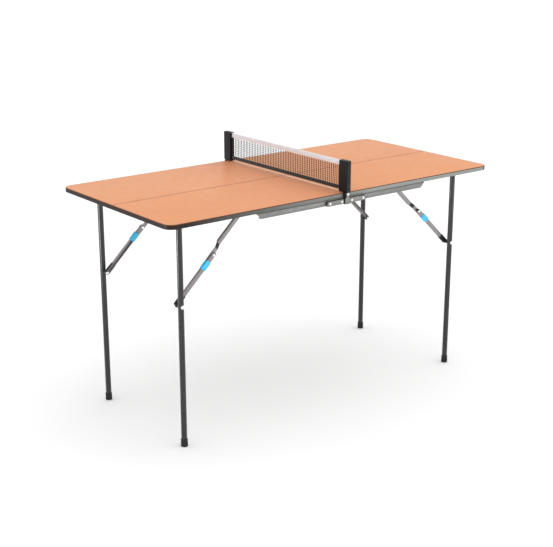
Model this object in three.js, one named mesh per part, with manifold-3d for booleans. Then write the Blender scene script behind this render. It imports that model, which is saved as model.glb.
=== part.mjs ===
// A folding compact table tennis table: two half tops with steel side rails, four legs that fold
// inward in pairs, a two-link folding stay with a locking collar at each leg, and a net between posts.
// Millimetres, +Z up, origin on the floor under the centre, +X along the playing length.
import * as THREE from "three";
import { mergeVertices } from "three/addons/utils/BufferGeometryUtils.js";
import Module from "manifold-3d";

const wasm = await Module();
wasm.setup();

// ---- driving dimensions ----
const LENGTH = 1364; // both halves, end to end
const WIDTH = 645;
const HEIGHT = 760; // playing surface above the floor
const BOARD_THICK = 15;
const SEAM = 2; // gap between the halves
const CORNER_R = 32;
const BAND_THICK = 1.5; // edge band round each half top
const GAP = 0.3; // between pieces that touch

const RAIL_LENGTH = 361; // each half rail, from the centre to the top of its bevelled end
const RAIL_DROP = 19; // below the board
const RAIL_DEPTH = 18; // flange width, inward
const RAIL_WALL = 2;
const RAIL_PROUD = 1; // beyond the board edge
const MARGIN = 2; // how far a cutting tool passes the piece it cuts

const LEAF_THICK = 2.3; // centre hinge leaves
const LEAF_START = 13;
const LEAF_END = 82;
const LEAF_WIDTH = 16;
const LEAF_CORNER_R = 3;
const LEAF_RIVETS = [21, 71]; // distances from the centre
const LEAF_Z = 734;
const RIVET_R = 4.2;
const RIVET_TALL = 2.4;
const BLOCK_DEPTH = 5.9; // black block between rail and leaf
const BOSS_HALF = 10.8; // its deeper middle, behind the post bracket
const BOSS_DEPTH = 10.4;
const BOSS_TOP = 761;
const BOSS_BELOW = 2; // below the leaf

const LEG_X = 590;
const LEG_Y = 237;
const LEG_R = 9.5;
const TUBE_WALL = 1.3;
const PIVOT_Z = 732; // axis of the cross tube the legs turn about
const CROSS_R = 9;
const BOLT_HOLE_R = 3.4;
const SADDLE_SPAN = [160, 184]; // along the cross tube, from the middle
const SADDLE_REACH = 26; // half its length, across the tube
const SADDLE_THICK = 2.2;
const SADDLE_CLEAR = 0.4; // round the cross tube
const FLANGE_THICK = 2; // screwed flanges under the board
const FOOT_R = 11.5;
const FOOT_TALL = 25;
const FOOT_FLOOR = 3; // rubber under the tube
const FOOT_SOLE_R = 10.3;
const FOOT_SOLE_TALL = 1.5;
const FOOT_LIP_R = 10.8;
const BOLT_HEAD_R = 5.5;
const BOLT_HEAD_TALL = 2.6;
const BOLT_SHANK_R = 3;
const SPACER_R = 6.5; // between leg and stay
const SPACER_CLEAR = 0.5; // spacer to stay

const STAY_ANGLE = THREE.MathUtils.degToRad(43.7); // unfolded stay, above the horizontal
const STAY_BOLT_Z = 470; // where the stay is bolted to the leg
const STAY_HALF = 7; // half the width of both links
const LINK_WALL = 1.8;
const UPPER_WALL = 2.6;
// Distances inward from the leg's axis, towards the middle of the table.
const LOWER_OUTER = 21;
const LOWER_INNER = 30.6;
const TAIL_OUTER = 31;
const UPPER_OUTER = 37.6;
const UPPER_INNER = 46.6;
const JOG_START = 24; // along the upper link, from the knee rivet
const JOG_END = 42;
const FLANGE_START = 4; // the upper link's side walls begin this far past the jog
const TAIL_REACH = 25.5; // the upper link's tail beyond the knee rivet
const KNEE_HEAD_R = 5;
const KNEE_SHANK_R = 2.9;
const KNEE_TAIL = [[0, 3], [2.6, 2.6], [4.6, 1.2], [5, 0]]; // closed end: radius, height off the link
const KNEE_HEAD_TALL = 1.8;
const KNEE_BACK = 2; // the lower link beyond the knee rivet, besides its round end
const COLLAR_START = 26; // below the knee rivet
const COLLAR_LONG = 33;
const COLLAR_HALF = 8.9;
const COLLAR_WALL = 1.5;
const COLLAR_CLEAR = 0.35;
const COLLAR_R = [2, 0.3]; // outer and inner corners
const EAR_HALF = 7; // stay bracket ears
const EAR_ROOT = 9;
const EAR_THICK = 2;
const EAR_CLEAR = [0.8, 0.6]; // outer and inner ear to the upper link
const PAD_HALF = 22; // stay bracket base, along the table
const PAD_PAST = [8, 10]; // base beyond the outer and inner ear
const PIN_R = 2.8;
const PIN_HEAD_R = 4.4;
const PIN_HEAD_TALL = 1.1;

const POST_IN = 299; // inner face of each net post
const POST_OUT = 340; // outer face
const POST_X = 19.5;
const POST_LOW = 763;
const POST_TOP = 866;
const POST_WALL = 1.8;
const POST_R = 4; // round corners
const POST_ROOF = 4;
const BRACKET_FOOT = 22; // width of the post bracket below the table edge
const BRACKET_NECK = 12;
const BRACKET_STEM = 9; // inside the post
const BRACKET_TOP = 846;
const BRACKET_TURN = [743, 746]; // where the bracket narrows to its neck
const POST_SCREW_Z = 757;
const SCREW_R = 2.4;
const SCREW_HOLE_R = 2.8;
const SCREW_HEAD_R = 5;
const SCREW_HEAD = [0.4, 2.5]; // rim and dome
const NET_HALF = 1; // half thickness of the net
const TAPE_HALF = 2;
const TOP_TAPE = [848, 864];
const BOTTOM_TAPE = [767.5, 780];

// ---- derived ----
const BOARD_LOW = HEIGHT - BOARD_THICK;
const UNDER = BOARD_LOW - GAP; // highest point of anything fixed under the board
const stayRise = PIVOT_Z - STAY_BOLT_Z;
const stayRun = stayRise / Math.tan(STAY_ANGLE);
const stayLength = stayRise / Math.sin(STAY_ANGLE);
const upperLength = (stayLength - (stayRun - stayRise)) / 2; // links lie over each other when folded
const lowerLength = stayLength - upperLength;
const bracketX = LEG_X - stayRun;
const railFace = WIDTH / 2 + RAIL_PROUD;

// ---- materials ----
const finish = (color, roughness, metalness) =>
  new THREE.MeshStandardMaterial({ color, roughness, metalness });
const MAT = {
  top: finish(0xe9a882, 0.45, 0),
  band: finish(0x4a423e, 0.5, 0),
  frame: finish(0x8b8c8e, 0.4, 0.6),
  tube: finish(0x3c3d40, 0.25, 0.8),
  rubber: finish(0x161617, 0.8, 0),
  collar: finish(0x3fbfee, 0.35, 0),
  steel: finish(0xdcdcdc, 0.25, 1),
  post: finish(0x26262a, 0.4, 0),
  net: finish(0x55565a, 0.8, 0),
  tape: finish(0xf0eeee, 0.7, 0),
  black: finish(0x1b1b1d, 0.7, 0),
};

// ---- solids ----
const part = new THREE.Group();

function addMesh(name, geometry, material, parent = part) {
  const mesh = new THREE.Mesh(geometry, material);
  mesh.name = name;
  parent.add(mesh);
  return mesh;
}

function toSolid(geometry) {
  const bare = geometry.clone();
  bare.deleteAttribute("normal");
  bare.deleteAttribute("uv");
  const merged = mergeVertices(bare, 1e-4);
  const triVerts = new Uint32Array(merged.index.array);
  const vertProperties = merged.attributes.position.array;
  return new wasm.Manifold(new wasm.Mesh({ numProp: 3, vertProperties, triVerts }));
}

function toGeometry(solid) {
  const mesh = solid.getMesh();
  const geometry = new THREE.BufferGeometry();
  geometry.setAttribute("position", new THREE.BufferAttribute(mesh.vertProperties, mesh.numProp));
  geometry.setIndex(new THREE.BufferAttribute(mesh.triVerts, 1));
  return geometry;
}

const joined = (...pieces) => pieces.map(toSolid).reduce((a, b) => a.add(b));
const cut = (solid, ...tools) => tools.map(toSolid).reduce((a, b) => a.subtract(b), solid);

const outline = (points) => new THREE.Shape(points.map(([x, y]) => new THREE.Vector2(x, y)));

function circle(x, y, r) {
  return new THREE.Shape().absarc(x, y, r, 0, Math.PI * 2);
}

function ring(x, y, outer, inner) {
  const shape = circle(x, y, outer);
  shape.holes.push(circle(x, y, inner));
  return shape;
}

// Rectangle with round corners, centred on (x, y).
function roundedBox(x, y, halfX, halfY, r) {
  const shape = new THREE.Shape();
  shape.absarc(x + halfX - r, y + halfY - r, r, 0, Math.PI / 2);
  shape.absarc(x - halfX + r, y + halfY - r, r, Math.PI / 2, Math.PI);
  shape.absarc(x - halfX + r, y - halfY + r, r, Math.PI, Math.PI * 1.5);
  shape.absarc(x + halfX - r, y - halfY + r, r, Math.PI * 1.5, Math.PI * 2);
  return shape;
}

// Bar outline with a round end at each side: from x0 - r to x1 + r.
function slotShape(x0, x1, r) {
  const shape = new THREE.Shape();
  shape.absarc(x1, 0, r, -Math.PI / 2, Math.PI / 2);
  shape.absarc(x0, 0, r, Math.PI / 2, Math.PI * 1.5);
  return shape;
}

function extrude(shape, depth, steps = 8) {
  return new THREE.ExtrudeGeometry(shape, { depth, bevelEnabled: false, curveSegments: steps });
}

// A shape drawn in X and Y, standing from z0 to z1.
const upright = (shape, z0, z1, steps) => extrude(shape, z1 - z0, steps).translate(0, 0, z0);

// A shape drawn in X and Z, reaching from y0 to y1.
const across = (shape, y0, y1, steps) =>
  extrude(shape, y1 - y0, steps).rotateX(Math.PI / 2).translate(0, y1, 0);

// A shape drawn in Y and Z, reaching from x0 to x1.
const LENGTHWAYS = new THREE.Matrix4().makeBasis(
  new THREE.Vector3(0, 1, 0), new THREE.Vector3(0, 0, 1), new THREE.Vector3(1, 0, 0));
const lengthways = (shape, x0, x1, steps) =>
  extrude(shape, x1 - x0, steps).applyMatrix4(LENGTHWAYS).translate(x0, 0, 0);

const box = (x0, x1, y0, y1, z0, z1) =>
  new THREE.BoxGeometry(x1 - x0, y1 - y0, z1 - z0)
    .translate((x0 + x1) / 2, (y0 + y1) / 2, (z0 + z1) / 2);

// A turned profile of [radius, height] points, about the vertical axis.
const turned = (profile, steps = 16) =>
  new THREE.LatheGeometry(profile.map(([r, z]) => new THREE.Vector2(r, z)), steps).rotateX(Math.PI / 2);

// The same profile laid along Y: height becomes the distance towards +Y.
const turnedAcross = (profile, x, z, steps = 12) =>
  new THREE.LatheGeometry(profile.map(([r, y]) => new THREE.Vector2(r, y)), steps).translate(x, 0, z);

// Domed head profile from the shank radius, starting at height y and rising by tall.
function domeProfile(radius, y, tall, steps = 2) {
  const points = [];
  for (let i = 0; i <= steps; i++) {
    const turn = (i / steps) * (Math.PI / 2);
    points.push([radius * Math.cos(turn), y + tall * Math.sin(turn)]);
  }
  points[steps][0] = 0;
  return points;
}

// Groups that mirror a piece made in the +X +Y quarter into each half, side or corner.
const SIDES = { left: -1, right: 1 };
const EDGES = { front: -1, back: 1 };

function mirrorGroup(sx, sy) {
  const group = new THREE.Group();
  group.scale.set(sx, sy, 1);
  part.add(group);
  return group;
}

// ---- half tops, for the +X half ----
function halfTop(inset) {
  const end = LENGTH / 2 - inset;
  const side = WIDTH / 2 - inset;
  const r = CORNER_R - inset;
  const shape = new THREE.Shape();
  shape.moveTo(SEAM / 2, -side);
  shape.lineTo(end - r, -side);
  shape.absarc(end - r, -side + r, r, -Math.PI / 2, 0);
  shape.absarc(end - r, side - r, r, 0, Math.PI / 2);
  shape.lineTo(SEAM / 2, side);
  return shape;
}

function edgeBand() {
  const outer = upright(halfTop(0), BOARD_LOW, HEIGHT, 8);
  const low = BOARD_LOW - MARGIN;
  const high = HEIGHT + MARGIN;
  const hollow = upright(halfTop(BAND_THICK), low, high, 8);
  const within = WIDTH / 2 - BAND_THICK;
  const seamSide = box(0, SEAM / 2 + MARGIN, -within, within, low, high);
  return toGeometry(cut(toSolid(outer), hollow, seamSide));
}

function addHalf(side, sx) {
  const half = mirrorGroup(sx, 1);
  addMesh(`board_${side}`, upright(halfTop(BAND_THICK + GAP), BOARD_LOW, HEIGHT, 8), MAT.top, half);
  addMesh(`edge_band_${side}`, edgeBand(), MAT.band, half);
}

// ---- side rail under the board edge: a channel open inward, bevelled at its outer end ----
function sideRail() {
  const low = BOARD_LOW - RAIL_DROP;
  const inner = railFace - RAIL_DEPTH;
  const channel = outline([
    [inner, low], [railFace, low], [railFace, UNDER], [inner, UNDER],
    [inner, UNDER - RAIL_WALL], [railFace - RAIL_WALL, UNDER - RAIL_WALL],
    [railFace - RAIL_WALL, low + RAIL_WALL], [inner, low + RAIL_WALL],
  ]);
  const past = RAIL_LENGTH + MARGIN;
  const bevel = across(outline([
    [RAIL_LENGTH, UNDER], [past, UNDER + MARGIN], [past, low - MARGIN],
    [RAIL_LENGTH - RAIL_DROP - MARGIN, low - MARGIN],
  ]), inner - MARGIN, railFace + MARGIN);
  return toGeometry(cut(toSolid(lengthways(channel, SEAM / 2, RAIL_LENGTH + 1)), bevel));
}

// ---- centre hinge: on each half and edge a black block, and a steel leaf with two domed rivets ----
const blockFace = railFace + GAP;
const leafFace = blockFace + BLOCK_DEPTH + GAP;
const bracketFace = blockFace + BOSS_DEPTH + GAP;

function hingeBlock() {
  const half = LEAF_WIDTH / 2;
  const top = LEAF_Z + half + 2 * GAP;
  const bar = box(GAP / 2, LEAF_END - 1, blockFace, blockFace + BLOCK_DEPTH, LEAF_Z - half, top);
  const low = LEAF_Z - half - BOSS_BELOW;
  const boss = box(GAP / 2, BOSS_HALF, blockFace, blockFace + BOSS_DEPTH, low, BOSS_TOP);
  return toGeometry(joined(bar, boss));
}

function hingeLeaf() {
  const half = LEAF_WIDTH / 2;
  const r = LEAF_CORNER_R;
  const strap = new THREE.Shape();
  strap.moveTo(LEAF_START, LEAF_Z + half);
  strap.lineTo(LEAF_START, LEAF_Z - half);
  strap.lineTo(LEAF_END - r, LEAF_Z - half);
  strap.absarc(LEAF_END - r, LEAF_Z - half + r, r, -Math.PI / 2, 0);
  strap.absarc(LEAF_END - r, LEAF_Z + half - r, r, 0, Math.PI / 2);
  const rivet = [[0, leafFace + 1], [RIVET_R, leafFace + 1],
    ...domeProfile(RIVET_R, leafFace + LEAF_THICK, RIVET_TALL)];
  const rivets = LEAF_RIVETS.map((x) => turnedAcross(rivet, x, LEAF_Z));
  return toGeometry(joined(across(strap, leafFace, leafFace + LEAF_THICK, 4), ...rivets));
}

// ---- net post bracket: a foot on the hinge block's boss and a stem that the post slides over ----
function postBracket() {
  const foot = BRACKET_FOOT / 2;
  const neck = BRACKET_NECK / 2;
  const stem = BRACKET_STEM / 2;
  const low = BOARD_LOW - RAIL_DROP - BOSS_BELOW;
  const [turnLow, turnHigh] = BRACKET_TURN;
  const shoulder = POST_LOW - GAP; // the post rests here
  const plate = new THREE.Shape();
  plate.moveTo(-foot, low);
  plate.lineTo(foot, low);
  plate.lineTo(foot, turnLow);
  plate.lineTo(neck, turnHigh);
  plate.lineTo(neck, shoulder);
  plate.lineTo(stem, shoulder);
  plate.absarc(0, BRACKET_TOP - stem, stem, 0, Math.PI);
  plate.lineTo(-stem, shoulder);
  plate.lineTo(-neck, shoulder);
  plate.lineTo(-neck, turnHigh);
  plate.lineTo(-foot, turnLow);
  plate.holes.push(circle(0, POST_SCREW_Z, SCREW_HOLE_R));
  return across(plate, bracketFace, bracketFace + LEAF_THICK, 5);
}

function postScrew() {
  const outer = bracketFace + LEAF_THICK + GAP;
  const end = bracketFace - GAP / 2;
  const [rim, dome] = SCREW_HEAD;
  const profile = [[0, end], [SCREW_R, end], [SCREW_R, outer], [SCREW_HEAD_R, outer],
    ...domeProfile(SCREW_HEAD_R, outer + rim, dome)];
  return turnedAcross(profile, 0, POST_SCREW_Z);
}

function addRailSet(side, sx, edge, sy) {
  const corner = mirrorGroup(sx, sy);
  addMesh(`side_rail_${edge}_${side}`, sideRail(), MAT.frame, corner);
  addMesh(`hinge_block_${edge}_${side}`, hingeBlock(), MAT.black, corner);
  addMesh(`hinge_leaf_${edge}_${side}`, hingeLeaf(), MAT.frame, corner);
}

// ---- net post: a hollow cap, open below, that drops over the bracket's stem ----
function netPost() {
  const middle = (POST_IN + POST_OUT) / 2;
  const halfX = POST_X / 2;
  const halfY = (POST_OUT - POST_IN) / 2;
  const shell = upright(roundedBox(0, middle, halfX, halfY, POST_R), POST_LOW, POST_TOP, 4);
  const hollow = upright(roundedBox(0, middle, halfX - POST_WALL, halfY - POST_WALL, POST_R - POST_WALL),
    POST_LOW - MARGIN, POST_TOP - POST_ROOF, 4);
  return toGeometry(cut(toSolid(shell), hollow));
}

function addNetSet() {
  const reach = POST_IN - GAP;
  addMesh("net_mesh", box(-NET_HALF, NET_HALF, -reach, reach, BOTTOM_TAPE[1] + GAP, TOP_TAPE[0] - GAP),
    MAT.net);
  addMesh("net_top_tape", box(-TAPE_HALF, TAPE_HALF, -reach, reach, ...TOP_TAPE), MAT.tape);
  addMesh("net_bottom_tape", box(-TAPE_HALF, TAPE_HALF, -reach, reach, ...BOTTOM_TAPE), MAT.black);
  for (const [edge, sy] of Object.entries(EDGES)) {
    const group = mirrorGroup(1, sy);
    addMesh(`net_post_${edge}`, netPost(), MAT.post, group);
    addMesh(`post_bracket_${edge}`, postBracket(), MAT.frame, group);
    addMesh(`post_screw_${edge}`, postScrew(), MAT.steel, group);
  }
}

// ---- legs ----
function legTube() {
  const inner = LEG_R - TUBE_WALL;
  const low = FOOT_FLOOR + GAP;
  const steps = 3;
  const profile = [];
  for (let i = 0; i <= steps; i++) {
    const turn = (i / steps) * (Math.PI / 2);
    profile.push([inner * Math.sin(turn), PIVOT_Z + inner * Math.cos(turn)]);
  }
  profile.push([inner, low], [LEG_R, low]);
  for (let i = 0; i <= steps; i++) {
    const turn = (i / steps) * (Math.PI / 2);
    profile.push([LEG_R * Math.cos(turn), PIVOT_Z + LEG_R * Math.sin(turn)]);
  }
  profile[0][0] = 0;
  profile.at(-1)[0] = 0;
  const tube = turned(profile);
  const boltHole = across(circle(0, STAY_BOLT_Z, BOLT_HOLE_R), -2 * LEG_R, 2 * LEG_R, 4);
  return toGeometry(cut(toSolid(tube), boltHole)).translate(LEG_X, LEG_Y, 0);
}

function legFoot() {
  const inner = LEG_R + GAP;
  const profile = [[0, 0], [FOOT_SOLE_R, 0], [FOOT_R, FOOT_SOLE_TALL], [FOOT_LIP_R, FOOT_TALL],
    [inner, FOOT_TALL], [inner, FOOT_FLOOR], [0, FOOT_FLOOR]];
  return turned(profile).translate(LEG_X, LEG_Y, 0);
}

// The bolt that joins leg and stay: head outside the leg, spacer inside it.
function legBolt() {
  const head = LEG_Y + LEG_R + GAP;
  const spacer = LEG_Y - LEG_R - GAP;
  const end = LEG_Y - LOWER_OUTER + SPACER_CLEAR;
  const profile = [[0, end], [SPACER_R, end], [SPACER_R, spacer], [BOLT_SHANK_R, spacer],
    [BOLT_SHANK_R, head], [BOLT_HEAD_R, head], ...domeProfile(BOLT_HEAD_R, head + 1, BOLT_HEAD_TALL)];
  return turnedAcross(profile, LEG_X, STAY_BOLT_Z);
}

function crossTube() {
  const reach = LEG_Y - LEG_R - GAP;
  return across(ring(LEG_X, PIVOT_Z, CROSS_R, CROSS_R - TUBE_WALL), -reach, reach, 8);
}

// Strap under the cross tube, with a screw flange on each side of it.
function pivotSaddle() {
  const inner = CROSS_R + SADDLE_CLEAR;
  const outer = inner + SADDLE_THICK;
  const flange = UNDER - FLANGE_THICK;
  const strap = new THREE.Shape();
  strap.moveTo(-SADDLE_REACH, UNDER);
  strap.lineTo(-SADDLE_REACH, flange);
  strap.lineTo(-outer, flange);
  strap.absarc(0, PIVOT_Z, outer, Math.PI, Math.PI * 2);
  strap.lineTo(outer, flange);
  strap.lineTo(SADDLE_REACH, flange);
  strap.lineTo(SADDLE_REACH, UNDER);
  strap.lineTo(inner, UNDER);
  strap.absarc(0, PIVOT_Z, inner, Math.PI * 2, Math.PI, true);
  strap.lineTo(-inner, UNDER);
  return across(strap, ...SADDLE_SPAN, 8).translate(LEG_X, 0, 0);
}

// ---- folding stay. Its own frame: x from the knee towards the table, z inward from the leg's axis ----
const stayFrame = new THREE.Matrix4().makeBasis(
  new THREE.Vector3(-Math.cos(STAY_ANGLE), 0, Math.sin(STAY_ANGLE)),
  new THREE.Vector3(-Math.sin(STAY_ANGLE), 0, -Math.cos(STAY_ANGLE)),
  new THREE.Vector3(0, -1, 0),
).setPosition(
  LEG_X - lowerLength * Math.cos(STAY_ANGLE), LEG_Y, STAY_BOLT_Z + lowerLength * Math.sin(STAY_ANGLE));

// A side view drawn along the stay (x) and inward (y), as wide as the links.
const stayBlock = (points) =>
  extrude(outline(points), 2 * STAY_HALF).rotateX(Math.PI / 2).translate(0, STAY_HALF, 0);

const knob = (profile, x) =>
  new THREE.LatheGeometry(profile.map(([r, z]) => new THREE.Vector2(r, z)), 10)
    .rotateX(Math.PI / 2).translate(x, 0, 0);

function upperLink() {
  const end = upperLength + STAY_HALF;
  const tail = -TAIL_REACH - MARGIN;
  const tailInner = TAIL_OUTER + UPPER_WALL;
  const webInner = UPPER_OUTER + UPPER_WALL;
  const shape = stayBlock([
    [tail, TAIL_OUTER], [JOG_START, TAIL_OUTER], [JOG_END, UPPER_OUTER], [end, UPPER_OUTER],
    [end, UPPER_INNER], [JOG_END + FLANGE_START, UPPER_INNER], [JOG_END + FLANGE_START, webInner],
    [JOG_END - 1, webInner], [JOG_START - 1, tailInner], [tail, tailInner],
  ]);
  const plan = new THREE.Shape();
  const tailTurn = Math.asin(STAY_HALF / TAIL_REACH);
  plan.absarc(upperLength, 0, STAY_HALF, -Math.PI / 2, Math.PI / 2);
  plan.absarc(0, 0, TAIL_REACH, Math.PI - tailTurn, Math.PI + tailTurn);
  const side = STAY_HALF - LINK_WALL;
  const hollow = box(JOG_END, end + MARGIN, -side, side, webInner, UPPER_INNER + MARGIN);
  const past = UPPER_INNER + MARGIN;
  const kneeHole = extrude(circle(0, 0, BOLT_HOLE_R), past, 5);
  const topHole = extrude(circle(upperLength, 0, BOLT_HOLE_R), past, 5);
  const body = toSolid(shape).intersect(toSolid(extrude(plan, past, 5)));
  return toGeometry(cut(body, hollow, kneeHole, topHole)).applyMatrix4(stayFrame);
}

// The lower link carries the knee rivet, and the eye that sits against the leg bolt's spacer.
function lowerLink() {
  const plan = slotShape(-lowerLength, KNEE_BACK, STAY_HALF);
  const side = STAY_HALF - LINK_WALL;
  const channel = cut(
    toSolid(extrude(plan, LOWER_INNER - LOWER_OUTER, 5).translate(0, 0, LOWER_OUTER)),
    box(-lowerLength - LOWER_OUTER, LOWER_OUTER, -side, side, LOWER_OUTER + LINK_WALL, LOWER_INNER + MARGIN));
  const headIn = TAIL_OUTER + UPPER_WALL + GAP;
  const base = LOWER_OUTER + 1;
  const kneeRivet = knob([
    ...KNEE_TAIL.map(([r, tall]) => [r, LOWER_OUTER - tall]),
    [KNEE_HEAD_R, LOWER_INNER], [KNEE_SHANK_R, LOWER_INNER], [KNEE_SHANK_R, headIn],
    ...domeProfile(KNEE_HEAD_R, headIn, KNEE_HEAD_TALL),
  ], 0);
  const legEye = knob([[0, base], [KNEE_HEAD_R, base],
    ...domeProfile(KNEE_HEAD_R, LOWER_INNER, KNEE_HEAD_TALL)], -lowerLength);
  return toGeometry(channel.add(toSolid(kneeRivet)).add(toSolid(legEye))).applyMatrix4(stayFrame);
}

function lockCollar() {
  const middle = (LOWER_OUTER + LOWER_INNER) / 2;
  const halfIn = (LOWER_INNER - LOWER_OUTER) / 2 + COLLAR_CLEAR;
  const [outerR, innerR] = COLLAR_R;
  const shape = roundedBox(0, middle, COLLAR_HALF, halfIn + COLLAR_WALL, outerR);
  shape.holes.push(roundedBox(0, middle, STAY_HALF + COLLAR_CLEAR, halfIn, innerR));
  return lengthways(shape, -COLLAR_START - COLLAR_LONG, -COLLAR_START, 2).applyMatrix4(stayFrame);
}

// Bracket under the board: two ears with the upper link's pin riveted across them.
function stayBracket() {
  const [outerClear, innerClear] = EAR_CLEAR;
  const [outerPast, innerPast] = PAD_PAST;
  const outerEar = LEG_Y - UPPER_OUTER + outerClear;
  const innerEar = LEG_Y - UPPER_INNER - innerClear;
  const ear = new THREE.Shape();
  ear.moveTo(bracketX - EAR_ROOT, UNDER - 1);
  ear.lineTo(bracketX - EAR_HALF, PIVOT_Z);
  ear.absarc(bracketX, PIVOT_Z, EAR_HALF, Math.PI, Math.PI * 2);
  ear.lineTo(bracketX + EAR_ROOT, UNDER - 1);
  const base = box(bracketX - PAD_HALF, bracketX + PAD_HALF, innerEar - innerPast, outerEar + outerPast,
    UNDER - FLANGE_THICK, UNDER);
  const ears = [
    across(ear, outerEar, outerEar + EAR_THICK, 4),
    across(ear, innerEar - EAR_THICK, innerEar, 4),
  ];
  const outerHead = outerEar + EAR_THICK + PIN_HEAD_TALL;
  const innerHead = innerEar - EAR_THICK - PIN_HEAD_TALL;
  const outerStep = outerEar + EAR_THICK / 2;
  const innerStep = innerEar - EAR_THICK / 2;
  const pin = turnedAcross([[0, innerHead], [PIN_HEAD_R, innerHead], [PIN_HEAD_R, innerStep],
    [PIN_R, innerStep], [PIN_R, outerStep], [PIN_HEAD_R, outerStep], [PIN_HEAD_R, outerHead],
    [0, outerHead]], bracketX, PIVOT_Z, 10);
  return toGeometry(joined(base, ...ears, pin));
}

function addCorner(side, sx, edge, sy) {
  const corner = mirrorGroup(sx, sy);
  const place = `${edge}_${side}`;
  addMesh(`leg_tube_${place}`, legTube(), MAT.tube, corner);
  addMesh(`leg_foot_${place}`, legFoot(), MAT.rubber, corner);
  addMesh(`leg_bolt_${place}`, legBolt(), MAT.steel, corner);
  addMesh(`pivot_saddle_${place}`, pivotSaddle(), MAT.frame, corner);
  addMesh(`stay_upper_${place}`, upperLink(), MAT.frame, corner);
  addMesh(`stay_lower_${place}`, lowerLink(), MAT.frame, corner);
  addMesh(`lock_collar_${place}`, lockCollar(), MAT.collar, corner);
  addMesh(`stay_bracket_${place}`, stayBracket(), MAT.frame, corner);
}

for (const [side, sx] of Object.entries(SIDES)) {
  addHalf(side, sx);
  addMesh(`cross_tube_${side}`, crossTube(), MAT.tube, mirrorGroup(sx, 1));
  for (const [edge, sy] of Object.entries(EDGES)) {
    addRailSet(side, sx, edge, sy);
    addCorner(side, sx, edge, sy);
  }
}
addNetSet();

export default part;
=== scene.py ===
import math
import random

import bmesh
import bpy
from mathutils import Matrix, Vector


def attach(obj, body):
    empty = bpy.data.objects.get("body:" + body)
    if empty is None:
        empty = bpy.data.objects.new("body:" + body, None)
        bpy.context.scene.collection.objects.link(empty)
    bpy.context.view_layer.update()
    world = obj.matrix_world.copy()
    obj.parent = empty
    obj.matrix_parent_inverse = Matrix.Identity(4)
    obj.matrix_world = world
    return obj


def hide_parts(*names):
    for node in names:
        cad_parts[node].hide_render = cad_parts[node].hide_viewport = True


# A folding compact table tennis table: the visible surfaces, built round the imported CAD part.
# Metres, in the CAD part's frame: +Z up, +X along the playing length, the net at X = 0.
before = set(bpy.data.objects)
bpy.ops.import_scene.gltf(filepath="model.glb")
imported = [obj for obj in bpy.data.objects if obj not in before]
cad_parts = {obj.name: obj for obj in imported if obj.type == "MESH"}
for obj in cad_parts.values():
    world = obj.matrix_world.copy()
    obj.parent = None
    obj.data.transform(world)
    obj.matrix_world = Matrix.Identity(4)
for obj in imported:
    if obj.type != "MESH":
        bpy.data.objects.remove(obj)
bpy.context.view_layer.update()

# ---- camera ----
CAMERA_PLACE = (-2.465, -3.110, 1.650)
CAMERA_TURN = (72.58, 0, -38.05)  # degrees
LENS = 76.43

camera = bpy.data.objects.new("camera", bpy.data.cameras.new("camera"))
camera.data.lens = LENS
camera.data.sensor_width = 36
camera.location = CAMERA_PLACE
camera.rotation_euler = [math.radians(turn) for turn in CAMERA_TURN]
bpy.context.scene.collection.objects.link(camera)
bpy.context.scene.camera = camera

# ---- sizes, the same as the CAD part's ----
HALF_LENGTH = 0.682
HALF_WIDTH = 0.3225
TOP = 0.760
BOARD_LOW = 0.745
SEAM = 0.001  # from the centre to each half top
CORNER_R = 0.032
BAND = 0.0015
BAND_RIM = 0.0009
GAP = 0.0003  # between pieces that touch
BACKING = 0.0004  # how high above its lower face the board shows its grey backing
UNDER = BOARD_LOW - GAP

RAIL_END = 0.361
RAIL_LOW = BOARD_LOW - 0.019
RAIL_FACE = HALF_WIDTH + 0.001
RAIL_DEPTH = 0.018
RAIL_WALL = 0.002
BEND = 0.003  # outside radius where sheet steel is bent

LEAF_THICK = 0.0023
LEAF_SPAN = (0.013, 0.082)
LEAF_HALF = 0.008
LEAF_Z = 0.734
LEAF_RIVETS = (0.021, 0.071)
LEAF_TURN = 0.003  # radius of the leaf's outer corners
BLOCK_FACE = RAIL_FACE + GAP
BLOCK_DEPTH = 0.0059
BLOCK_SHORT = 0.001  # the block stops this far short of the leaf's end
BLOCK_R = 0.001
BLOCK_RIM = 0.0006
BOSS_HALF = 0.0108
BOSS_DEPTH = 0.0104
BOSS_TOP = 0.761
BOSS_DROP = 0.002  # how far the boss reaches below the leaf
LEAF_FACE = BLOCK_FACE + BLOCK_DEPTH + GAP
BRACKET_FACE = BLOCK_FACE + BOSS_DEPTH + GAP

LEG_X = 0.590
LEG_Y = 0.237
LEG_R = 0.0095
TUBE_WALL = 0.0013
TUBE_START = 0.0035
PIVOT_Z = 0.732
CROSS_R = 0.009
FOOT_R = 0.0115
FOOT_TALL = 0.025
FOOT_SOLE = 0.003
FOOT_PROFILE = (  # height, and how far inside the foot's radius
    (0, 0.0016), (0.0006, 0.0004), (0.002, 0), (0.006, 0.0002), (0.0215, 0.0007),
    (0.0225, 0.0003), (0.0243, 0.0004), (FOOT_TALL, 0.0009),
)
SADDLE_SPAN = (0.160, 0.184)
SADDLE_CLEAR = 0.0004
SADDLE_THICK = 0.0022
FLANGE_THICK = 0.002
FLANGE_END = 0.026
SADDLE_SCREW_X = 0.019
SADDLE_SCREW_R = 0.0042
SADDLE_SCREW_SUNK = 0.0005
SADDLE_SCREW_CROWN = 0.0020

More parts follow.
